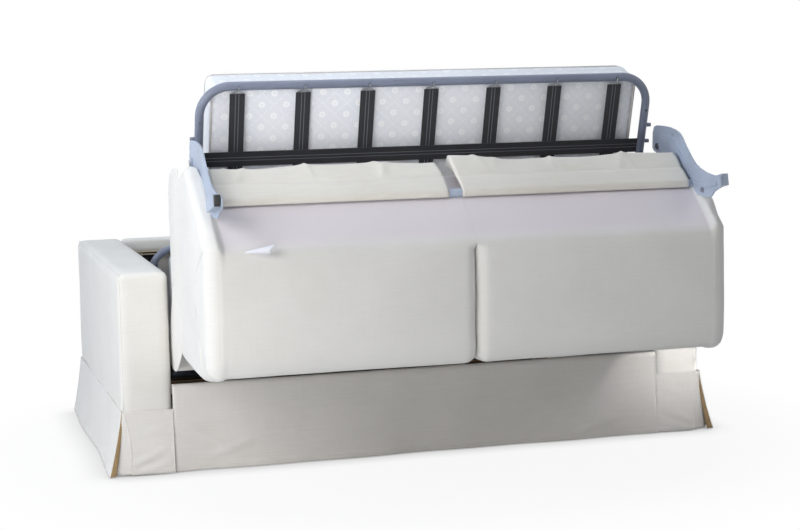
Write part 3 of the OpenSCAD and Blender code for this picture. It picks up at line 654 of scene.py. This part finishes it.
def front_cover(u, v):
    """From behind the front board, over its top and down to the hem."""
    w = ARM_IN - 0.0012
    x = -w + 2 * w * u
    y, z = np.zeros_like(x), np.zeros_like(x)
    top, middle, r = 0.250, 0.011, 0.0122
    way = v * FRONT_CUT
    a = way < BEHIND
    y[a] = middle + r
    z[a] = top - BEHIND + way[a]
    b = (way >= BEHIND) & (way < BEHIND + OVER)
    t = (way[b] - BEHIND) / OVER * math.pi
    y[b] = middle + r * np.cos(t)
    z[b] = top + r * np.sin(t)
    c = way >= BEHIND + OVER
    z[c] = top - (way[c] - BEHIND - OVER) / (FRONT_CUT - BEHIND - OVER) * 0.246
    k = np.clip((0.20 - z[c]) / 0.196, 0, 1)
    waves = 0.004 * np.sin(7.5 * x[c] + 0.8) + 0.003 * np.sin(19 * x[c] + 2.1)
    y[c] = -0.0016 - 0.012 * k * (0.6 + 0.4 * k) + waves * k
    p = np.stack([x, y, z], 1)
    p[:, 1] -= np.where(way > BEHIND + OVER, creases(p, FRONT_CREASES, 1), 0)
    return p


o = cloth("front_cover", front_cover, 150, 56, CLOTH, on_base, SKIRT)
ride(o, "base", "cover", "front_board")


def stitches(name, line, r, ax, out):
    """A row of stitches or a turned edge along a valance, moved out by so much along an axis."""
    line[:, ax] += out
    ride(tube_line(name, line, r, THREAD, on_base, 6), "base", "valance")


def front_valance(side):
    """Short valance under an arm: its pleat edge (u = 0) curves inwards, and creases run from its seam."""
    x0, x1, inwards = ARM_OUT - GAP, ARM_IN + GAP, 0.022

    def f(u, v):
        curve = v ** 0.8 + 0.35 * np.sin(math.pi * v) * (1 - 0.4 * v)
        x = side * (x0 + (x1 - x0) * u - inwards * (1 - u) * curve)
        y = -CLOTH - flare(v, 0.0125) + 0.003 * np.sin(26 * x) * v
        p = np.stack([x, y, drop(v)], 1)
        p[:, 1] -= creases(p * (side, 1, 1), VALANCE_CREASES, 1)
        return p
    return f


ALONG = np.linspace(0, 1, 24)
for side, nm in SIDES:
    f = front_valance(side)
    o = cloth(nm + "_front_valance", f, 26, 30, CLOTH, on_base, SKIRT)
    ride(o, "base", "valance", *(["front_valance"] if side < 0 else []))
    stitches(nm + "_front_hem", f(ALONG, np.full(24, 0.93)), STITCH, 1, -0.0012)
    stitches(nm + "_front_seam", f(np.full(24, 1.0), ALONG), EDGE, 1, -0.0015)
    stitches(nm + "_pleat_edge", f(np.full(24, 0.0), ALONG), EDGE, 1, -0.0008)
stitches("front_hem", front_cover(np.linspace(0.004, 0.996, 160), np.full(160, 0.955)), STITCH, 1, -0.0014)


def side_valance(side):
    def f(u, v):
        y = -0.001 + (DEPTH + 0.002) * u
        end = np.exp(-(u / 0.08) ** 2)
        out = 0.034 + 0.004 * np.sin(3.4 * math.pi * u + 0.5) + 0.006 * end
        x = side * (ARM_OUT + CLOTH + flare(v, out) + 0.0008 * np.sin(16 * y) * v)
        y = y - 0.016 * v ** 1.5 * end + 0.010 * v * np.exp(-((1 - u) / 0.06) ** 2)
        return np.stack([x, y, drop(v)], 1)
    return f


for side, nm in SIDES:
    f = side_valance(side)
    o = cloth(nm + "_side_valance", f, 110, 30, CLOTH, on_base, COVER)
    ride(o, "base", "valance", nm + "_valance")
    stitches(nm + "_side_hem", f(np.linspace(0, 1, 90), np.full(90, 0.93)), STITCH, 0, side * 0.0012)


def pleat(side, at_rear):
    """Inner panel of a corner pleat, from under the side valance to under the front or back one."""
    def f(u, v):
        x0, x1 = ARM_OUT + 0.001 + 0.026 * v ** 1.2, ARM_OUT - 0.004 - 0.036 * v
        x = x0 + (x1 - x0) * u
        y = -0.0012 - 0.007 * v + 0.012 * v * (1 - u) ** 2
        z = SEAM - 0.004 - v * (SEAM - 0.009)
        return np.stack([side * x, DEPTH - y if at_rear else y, z], 1)
    return f


for side, nm in SIDES:
    for end in ("front", "back"):
        o = cloth("pleat_%s_%s" % (nm, end), pleat(side, end == "back"), 12, 24, CLOTH, on_base, SKIRT)
        ride(o, "base", "pleat", *(["corner_pleats"] if (side, end) == (-1, "front") else []))


def facing(side):
    """Turned-in front edge of a side valance, open towards the pleat."""
    edge = side_valance(side)

    def f(u, v):
        q = edge(np.zeros(len(u)), v)
        q[:, 0] -= side * (0.001 + (0.003 + 0.015 * v) * u)
        q[:, 1] += 0.0006 + 0.004 * u * v
        return q
    return f


for side, nm in SIDES:
    o = cloth(nm + "_valance_facing", facing(side), 5, 24, 0.0012, on_base, TURNED)
    ride(o, "base", "pleat")


def back_valance(u, v):
    x = -0.921 + 1.842 * u
    y = DEPTH + 0.002 + flare(v, 0.0125) + 0.002 * np.sin(8 * math.pi * u) * v
    return np.stack([x, y, drop(v)], 1)


o = cloth("back_valance_cloth", back_valance, 120, 24, CLOTH, on_base, SKIRT)
ride(o, "base", "valance", "back_valance")

INNER = ARM_IN - 0.001
o = soft_box("back_cloth", (-INNER, DEPTH - 0.0045, 0.026), (INNER, DEPTH - GAP, 0.588), 0.0018, on_base,
             COVER, step=0.022, crown=0.0, rough=0.0)
ride(o, "base", "cover", "back_panel")
o = soft_box("back_rail", (-INNER, DEPTH - 0.0458, ARM_TOP - 0.0458), (INNER, DEPTH - 0.0075, ARM_TOP - GAP),
             0.009, on_base, COVER, step=0.014, crown=0.001)
ride(o, "base", "cover", "back_rails")
for k, z in enumerate((ARM_TOP - 0.0465, ARM_TOP - 0.056)):
    line = [(x, DEPTH - 0.0472 + 0.004 * k, z) for x in np.linspace(-ARM_IN + 0.003, ARM_IN - 0.003, 40)]
    o = tube_line("rail_welt_%d" % k, line, 0.0028, INSIDE, on_base)
    ride(o, "base", "cover")


def rear_timber(name, x0, x1, z0, z1):
    o = soft_box(name, (x0, DEPTH - 0.0455, z0), (x1, DEPTH - 0.008, z1), 0.003, on_base, WOOD, step=0.03,
                 crown=0.0, rough=0.0)
    ride(o, "base", "timber")


for side, nm in SIDES:
    rear_timber("rear_post_" + nm, *sorted((side * 0.7445, side * 0.773)), 0.03, 0.556)
rear_timber("rear_low_rail", -INNER, INNER, 0.031, 0.089)

# Seat, on the foot section: cushions, roll at the front edge, cloth sides

# Both outlines: way up the section from its hinge, distance in front of it
SEAT = mm([[-119, 146.5], [278, 146.5], [293, 151], [298, 166], [296, 214], [282, 224], [240, 227.5],
           [60, 228], [-110, 227.5], [-160, 226], [-171, 220], [-168, 212], [-130, 160]])
for side, nm in SIDES:
    x0, x1 = sorted((side * 0.703, side * 0.003))
    o = loft(nm + "_seat_cover", SEAT, x0, x1, at_foot, PADDED, edge=0.02, crown=0.0012, seed=5 + side)
    ride(o, "foot_section", "cushion_cover", nm + "_seat_cushion")
ROLL = mm([[-189, 137.5], [-135, 137.5], [-127, 141.5], [-127, 148], [-132, 158], [-172, 213], [-178, 224],
           [-187, 227], [-195, 222], [-196.5, 182], [-195, 143]])
o = loft("seat_roll_cover", ROLL, -0.7595, 0.7595, at_foot, PADDED, n=72, nx=70, edge=0.013, crown=0.0003,
         seed=9)
ride(o, "foot_section", "cushion_cover", "seat_roll")

# Outline from the side, in the base's own frame
SEAT_SIDE = mm([[8, 303], [94, 316], [62, 372], [14, 440], [0, 500], [0, 838], [-12, 866], [-36, 888],
                [-70, 902], [-110, 909], [-154, 904], [-160, 760], [-162, 640], [-158, 500], [-148, 410],
                [-120, 350], [-60, 312]])


def side_cloth(side):
    """The cloth leans on the cheek at its front edge, and is fuller low down."""
    def f(p):
        q = p.copy()
        y, z = q[:, 1], q[:, 2]
        lean = np.clip((-0.112 - y) / 0.026, 0, 1)
        low = np.exp(-((z - 0.37) / 0.05) ** 2) * np.exp(-((y + 0.06) / 0.06) ** 2)
        folds = 0.0016 * np.exp(-((z - 0.72 - 0.5 * (y + 0.1)) / 0.010) ** 2)
        folds += 0.0014 * np.exp(-((z - 0.76 - 0.7 * (y + 0.1)) / 0.008) ** 2)
        q[:, 0] += side * (0.0060 * low + folds * (1 - lean) - 0.0030 * lean)
        return q
    return f


for side, nm in SIDES:
    x0, x1 = sorted((side * 0.7605, side * 0.7642))
    o = loft(nm + "_seat_side_cover", SEAT_SIDE, x0, x1, on_base, PADDED, n=160, nx=3, edge=0.0015, crown=0.0,
             bulge=side_cloth(side), rough=0.0004)
    ride(o, "foot_section", "cushion_cover", nm + "_seat_side")

# Backrest: each half wears one cloth over its cushion, the slope and its cheek

# Matching corners of two outlines in mm: (y, z) over the cushion and slope, (y, z) over the cheek, and the
# number of points up to the next corner. At rest they run down the front face, back along the underside, up
# the rear and down the slope.
WRAP = (
    (389.5, 262, 390, 262, 26), (387, 520, 388.5, 528, 8), (371, 564, 371, 568, 8),  # front face
    (240, 567, 290, 579, 8), (182, 555, 90, 566, 7),  # underside
    (174, 548, -30, 552, 16), (97, 234, -40, 290, 8), (99, 226, -40, 40, 10),  # rear
    (236, 112, 93, 3, 3), (245, 109, 106, 5, 28),  # top
    (374, 210, 374, 189, 5), (387, 226, 391, 206, 6))  # slope, and its edge with the front face
# Corners at the rear, by number, where the cheek's outer side reaches further back than the rest of it
REAR = {4: (60, 573), 5: (-76, 556), 6: (-80, 290), 7: (-66, 52)}
# Where one outline turns into the other, along x: start, width. The rear turns later, and then reaches out.
TURN, REAR_TURN, REAR_REACH = (0.7005, 0.026), (0.7225, 0.012), (0.7375, 0.011)
WRAP_NOISE = ((0.17, 0.12, 0.10), 12, 0.0017)  # scale, seed, size
CUSHION_CROWN = 0.009


def wrap_ring(x):
    """Outline at distance x from the middle: first of cushion and slope, then of the cheek."""
    def share(start, width):
        return ease((x - start) / width)

    corners = []
    for i, row in enumerate(WRAP):
        t = share(*(REAR_TURN if i in REAR else TURN))
        corners.append((1 - t) * np.array(row[:2]) + t * np.array(row[2:4]))
    corners = np.array(corners) / 1000
    for i, corner in REAR.items():
        corners[i] += share(*REAR_REACH) * (mm(corner) - corners[i])
    pts = []
    for i, row in enumerate(WRAP):
        a, b = corners[i], corners[(i + 1) % len(WRAP)]
        pts.append(a + (b - a) * np.arange(row[4])[:, None] / row[4])
    q = np.vstack(pts)
    for _ in range(5):
        q = 0.25 * np.roll(q, 1, 0) + 0.5 * q + 0.25 * np.roll(q, -1, 0)
    return q


def inset(ring, centre, k):
    """A ring drawn in towards a point (y, z)."""
    q = ring.copy()
    q[:, 1:] = np.array(centre) + (ring[:, 1:] - centre) * k
    return q


def back_wrap(name, side):
    """Half of the backrest's cover, from the middle seam to the outer side."""
    middle, core = 0.0002, 0.034  # face at the middle of the sofa, and the radius of the cushion's edge there
    cheek, edge, half = 0.690, 0.750, 0.7600  # inner side of the cheek, last even ring, outer side
    steps = np.array([0, 0.04, 0.14, 0.3, 0.52, 0.76, 1.0])
    xs = np.r_[middle + steps * core, np.linspace(middle + core, cheek, 50)[1:],
               np.linspace(cheek, edge, 36)[1:], half - (half - edge) * steps[::-1][1:]]
    rings = []
    for x in xs:
        q = wrap_ring(x)
        cushion = ease((q[:, 1] - 0.226) / 0.018)  # 0 on the slope, which has no edge in the middle
        outer_r = 0.021 + 0.027 * ease((q[:, 0] - 0.28) / 0.07)  # the front edge of the cheek is rounder
        cut = cushion * round_off(x - middle, core) + round_off(half - x, outer_r)
        r = q - outline_normals(q) * cut[:, None]
        u = np.clip((x - middle) / 0.72, 0, 1) * 2 - 1
        v = np.clip((q[:, 1] - 0.235) / 0.33, 0, 1) * 2 - 1
        front = np.clip((q[:, 0] - 0.30) / 0.08, 0, 1)
        r[:, 0] += front * CUSHION_CROWN * np.sqrt(np.clip((1 - u ** 2) * (1 - v ** 2), 0, 1))
        rings.append(np.column_stack([np.full(len(q), side * x), r]))
    seam, outer = rings[0], rings[-1]
    for k in (0.8, 0.5, 0.2):
        q = inset(outer, (0.19, 0.33), k)
        q[:, 0] = side * (half + 0.0015 * (1 - k ** 2))
        rings.append(q)
    for k in (0.7, 0.3):
        rings.insert(0, inset(seam, (0.25, 0.38), k))
    n = len(seam)
    o = skin(name, at_back(wobble(np.vstack(rings), *WRAP_NOISE)), n, BACKREST)
    for e in o.data.edges:  # the seam's ring, after the two inside it
        if 2 * n <= min(e.vertices) and max(e.vertices) < 3 * n:
            e.use_edge_sharp = True
    return o


for side, nm in SIDES:
    o = back_wrap(nm + "_back_cover", side)
    hides = [nm + "_back_cushion", nm + "_cheek"] + (["back_lining"] if side < 0 else [])
    ride(o, "backrest", "cushion_cover", *hides)
    line = np.array([(side * 0.7612, 0.285 + 0.006 * t, 0.468 + 0.095 * t) for t in np.linspace(0, 1, 40)])
    o = tube_line(nm + "_corner_seam", wobble(line, *WRAP_NOISE), 0.0013, THREAD, at_back, 6)
    ride(o, "backrest", "cushion_cover")

# The backrest's core in its lining, which shows between and behind the flaps
CORE = mm([[381, 222.6], [98, 222.6], [69, 100], [53, 61], [112, 57], [150, 65], [200, 91], [222, 98],
           [244, 111], [382, 222]])
o = loft("core_cover", CORE, -0.705, 0.705, at_back, LINING, n=100, nx=24, edge=0.006, crown=0.0, rough=0.0)
ride(o, "backrest", "lining", "back_core")


def round_tube(r, a0, a1, n):
    """Arc round the cross tube that the flaps hang over, in degrees."""
    t = np.radians(np.linspace(a0, a1, n))
    return np.stack([0.233 + r * np.cos(t), 0.098 + r * np.sin(t)], 1)


FLAP_LINE = np.vstack([
    round_tube(0.0176, 34, -54, 8),
    mm([[228, 72], [212, 60.5], [202, 54.5], [194.5, 53.2], [187, 44.5], [174, 33], [160, 22.5], [149, 15.5],
        [134, 12], [122, 16], [115, 27], [117, 39], [128, 45], [143, 46], [165, 48], [188, 58.5], [206, 67.5],
        [224, 80]]),
    round_tube(0.0136, -54, 34, 8)])
FLAP_FOLDS = 14


def flap_folds(p, seed):
    """Long waves in the flap's roll, and creases across the flap."""
    q = p.copy()
    roll = np.clip((0.175 - q[:, 1]) / 0.05, 0, 1)
    q[:, 2] += roll * (0.0035 * np.sin(q[:, 0] * 11 + seed) + 0.002 * np.sin(q[:, 0] * 27 + 2 * seed))
    for k in range(FLAP_FOLDS):
        at = -0.68 + 0.105 * k + 0.05 * math.sin(3.1 * k + seed)
        tilt = 0.5 * math.sin(2.3 * k + seed)
        width, depth = 0.006 + 0.004 * (k % 3), 0.0028 + 0.0012 * (k % 2)
        fold = np.exp(-((q[:, 0] - at - tilt * (q[:, 1] - 0.18)) / width) ** 2)
        q[:, 2] -= fold * depth * np.clip((0.22 - q[:, 1]) / 0.05, 0, 1)
    return q


def flap(nm, x0, x1, end, reach, seed):
    """Flap from x0 to x1. At its end 0 or 1, which meets the other flap, its roll reaches further along x."""
    line = resample(FLAP_LINE, 130)
    n = len(line)
    roll = np.clip((0.190 - line[:, 0]) / 0.035, 0, 1)
    a = x0 + reach * roll * (end == 0)
    b = x1 + reach * roll * (end == 1)
    rings = []
    for u in np.linspace(0, 1, 90):
        r = flap_folds(np.column_stack([a + (b - a) * u, line]), seed)
        if end == 0:  # this end is lifted by the edge under it
            lift = max(0, 1 - u * 0.70 / 0.16)
            r[:, 2] -= 0.014 * lift * np.clip((0.20 - r[:, 1]) / 0.06, 0, 1)
        rings.append(r)
    o = skin(nm + "_flap_cloth", at_back(np.vstack(rings)), n, FLAP)
    ride(o, "backrest", "cushion_cover", nm + "_flap")


flap("left", x0=-0.699, x1=-0.036, end=1, reach=-0.008, seed=2.0)
flap("right", x0=0.005, x1=0.699, end=0, reach=-0.006, seed=4.4)

# Mattresses


def mattress(name, y0, y1, z0, z1, half, place, body, cad, seed):
    """Flat pad with piping round both faces."""
    r, cut = 0.016, 0.004  # rounding of the long edges, and how far it cuts the corner
    m = (z0 + z1) / 2
    pts = [[y0 + r, z0], [y1 - r, z0], [y1 - cut, z0 + cut], [y1, z0 + r], [y1 - cut, m], [y1, z1 - r],
           [y1 - cut, z1 - cut], [y1 - r, z1], [y0 + r, z1], [y0 + cut, z1 - cut], [y0, z1 - r],
           [y0 + cut, m], [y0, z0 + r], [y0 + cut, z0 + cut]]
    o = loft(name, pts, -half, half, place, TICKING, n=180, nx=90, edge=0.02, crown=0.0006, rough=0.0016,
             seed=seed)
    ride(o, body, "mattress", cad)
    h, a, b, c = half - 0.003, y0 + 0.003, y1 - 0.003, 0.02  # the piping's half width, ends and corners
    d = 0.3 * c
    loop = [(-h, a + c), (-h, b - c), (-h + d, b - d), (-h + c, b), (h - c, b), (h - d, b - d), (h, b - c),
            (h, a + c), (h - d, a + d), (h - c, a), (-h + c, a), (-h + d, a + d), (-h, a + c)]
    loop = resample(np.array(loop), 260, False)
    for k, z in enumerate((z0 + 0.004, z1 - 0.004)):
        line = np.column_stack([loop, np.full(len(loop), z)])
        ride(tube_line("%s_piping_%d" % (name, k), line, 0.0034, PIPING, place), body, "mattress")


mattress("foot_pad", 0.015, 0.650, 0.001, 0.1068, 0.654, at_foot, "foot_section", "foot_mattress", 31)
mattress("middle_pad", -0.865, -0.185, 0.0155, 0.1185, 0.628, at_middle, "middle_section", "middle_mattress",
         37)
# The head section's pad hangs down. Its upper front corner is cut off, to leave room for the middle one.
HEAD = mm([[-107, 190.5], [-27.6, 190.5], [-19.5, 194.5], [-15.6, 204], [-15.6, 538], [-19.5, 547.5],
           [-31.5, 547.5], [-105, 462], [-115.5, 452], [-118.5, 438], [-115.5, 340], [-118.5, 204],
           [-114.5, 194.5]])
o = loft("head_pad", HEAD, -0.6275, 0.6275, at_head, TICKING, n=150, nx=80, edge=0.018, crown=0.0003,
         seed=41)
ride(o, "head_section", "mattress", "head_mattress")

# Open mouth of the left leg tube: a black box on the end of its cap stands for the shade inside the tube, as
# painted shade
low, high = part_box("leg_caps")
WALL = 0.0015
o = soft_box("left_leg_mouth", (low.x + WALL, low.y - 0.0006, low.z + WALL),
             (low.x + 0.0185, low.y + 0.004, high.z - WALL), 0.0005, in_place, BLACK_PLASTIC_AND_PAINTED_SHADE, step=0.01, crown=0.0,
             rough=0.0)
ride(o, "backrest", "black_plastic")


def tag(u, v):
    """Blank strip of white cloth, sewn in at one end; the other stands off the cushion's edge and widens."""
    bow = u * np.sin(math.pi * v)
    x = -0.650 + 0.068 * u + 0.014 * u * v - 0.008 * bow
    y = 0.3880 + 0.016 * u + 0.008 * bow
    z = 0.2215 + 0.004 * u - (0.004 + 0.022 * u) * v
    return np.stack([x, y, z], 1)


o = cloth("care_tag", tag, 12, 10, 0.0009, at_back, TAG)
ride(o, "backrest", "lining")

# Stage, light, camera


def floor_white(name):
    """White floor: it keeps the shadows near the object, and further out it is purely white to the camera.
    Near the object the white it shows to the camera is darkened by ambient occlusion: a painted contact
    shadow.
    """
    m = material(name)
    m.shade(Base_Color=(0.72, 0.72, 0.72, 1), Roughness=1.0)
    far = m.new("ShaderNodeVectorMath")
    far.operation = "LENGTH"
    m.put(m.coords(), far.inputs[0])
    white_share = m.add(m.mul(m.ramp(far.outputs["Value"], 1.0, 1.5), 0.09), 0.91)
    # Painted contact shadow: ambient occlusion darkens the camera's white near the object
    near = m.new("ShaderNodeAmbientOcclusion", Distance=0.10)
    near.samples = 16
    white = m.new("ShaderNodeEmission", Strength=m.math("POWER", near.outputs["AO"], 0.5))
    m.show_camera(white_share, m.tree.nodes["Principled BSDF"], white, "Material Output")
    return m.owner


FLOOR = 30
floor = make("floor", [(-FLOOR, -FLOOR, 0), (FLOOR, -FLOOR, 0), (FLOOR, FLOOR, 0), (-FLOOR, FLOOR, 0)],
             [(0, 1, 2, 3)], floor_white("floor_white"), smooth=False)

world = bpy.data.worlds.new("studio")
bpy.context.scene.world = world
sky = Nodes(world)
glow = sky.tree.nodes["Background"]
glow.inputs["Color"].default_value = (0.93, 0.96, 1.0, 1)
glow.inputs["Strength"].default_value = 0.14
sky.show_camera(1.0, glow, sky.new("ShaderNodeBackground", Color=(1, 1, 1, 1), Strength=1.0), "World Output")


def lamp(name, at, towards, size, watts, color, spread=180):
    """Rectangular lamp; spread is the angle of its beam in degrees."""
    d = bpy.data.lights.new(name, "AREA")
    d.shape = "RECTANGLE"
    d.size, d.size_y = size
    d.energy = watts
    d.color = color
    d.spread = math.radians(spread)
    o = add(name, d)
    o.location = at
    o.rotation_euler = (Vector(towards) - Vector(at)).to_track_quat("-Z", "Y").to_euler()


lamp("key", (-2.45, -2.0, 1.65), (0.0, -0.5, 0.5), (1.5, 1.5), 33, (1.0, 0.985, 0.97))
lamp("left", (-3.6, 0.2, 2.2), (-0.6, 0.2, 0.4), (2.5, 2.5), 48, (0.81, 0.88, 1.0))
lamp("top", (-0.3, 0.4, 4.0), (-0.2, 0, 0.4), (3.5, 3.0), 66, (0.81, 0.89, 1.0))
lamp("right", (2.6, -1.9, 2.0), (0.6, -0.3, 0.4), (1.5, 1.5), 11, (1.0, 0.99, 0.98))
lamp("arm", (1.7, -2.5, 1.3), (0.88, -0.2, 0.3), (0.3, 0.3), 0.32, (1.0, 0.99, 0.98), spread=11)
lamp("upper", (-1.1, -2.9, 1.3), (-0.25, -0.15, 1.14), (1.0, 0.2), 0.6, (0.97, 0.98, 1.0), spread=22)
lamp("low", (-1.5, -2.7, 0.3), (-0.7, -0.2, 0.15), (1.4, 0.4), 13, (1.0, 0.98, 0.95))

# The camera that was fitted to the photograph: focal length in its pixels, eye, and angles in radians
PHOTO_W, FOCAL, SENSOR = 800, 1813.987, 36
EYE = Vector((-1.5812, -5.2491 + FRONT, 1.2286))
YAW, PITCH_DOWN, ROLL_RIGHT = 0.2808936, 0.1175722, 0.0189964
level = Vector((math.cos(YAW), -math.sin(YAW), 0))
ahead = Vector((math.sin(YAW) * math.cos(PITCH_DOWN), math.cos(YAW) * math.cos(PITCH_DOWN),
                -math.sin(PITCH_DOWN)))
down = ahead.cross(level)
image_x = math.cos(ROLL_RIGHT) * level + math.sin(ROLL_RIGHT) * down
image_y = -math.sin(ROLL_RIGHT) * level + math.cos(ROLL_RIGHT) * down
cam = bpy.data.cameras.new("camera")
cam.lens = FOCAL / PHOTO_W * SENSOR
cam.sensor_width = SENSOR
cam.sensor_fit = "HORIZONTAL"
camera = add("camera", cam)
camera.matrix_world = Matrix.Translation(EYE) @ Matrix((image_x, -image_y, -ahead)).transposed().to_4x4()
bpy.context.scene.camera = camera
bpy.context.scene.view_settings.view_transform = "Standard"
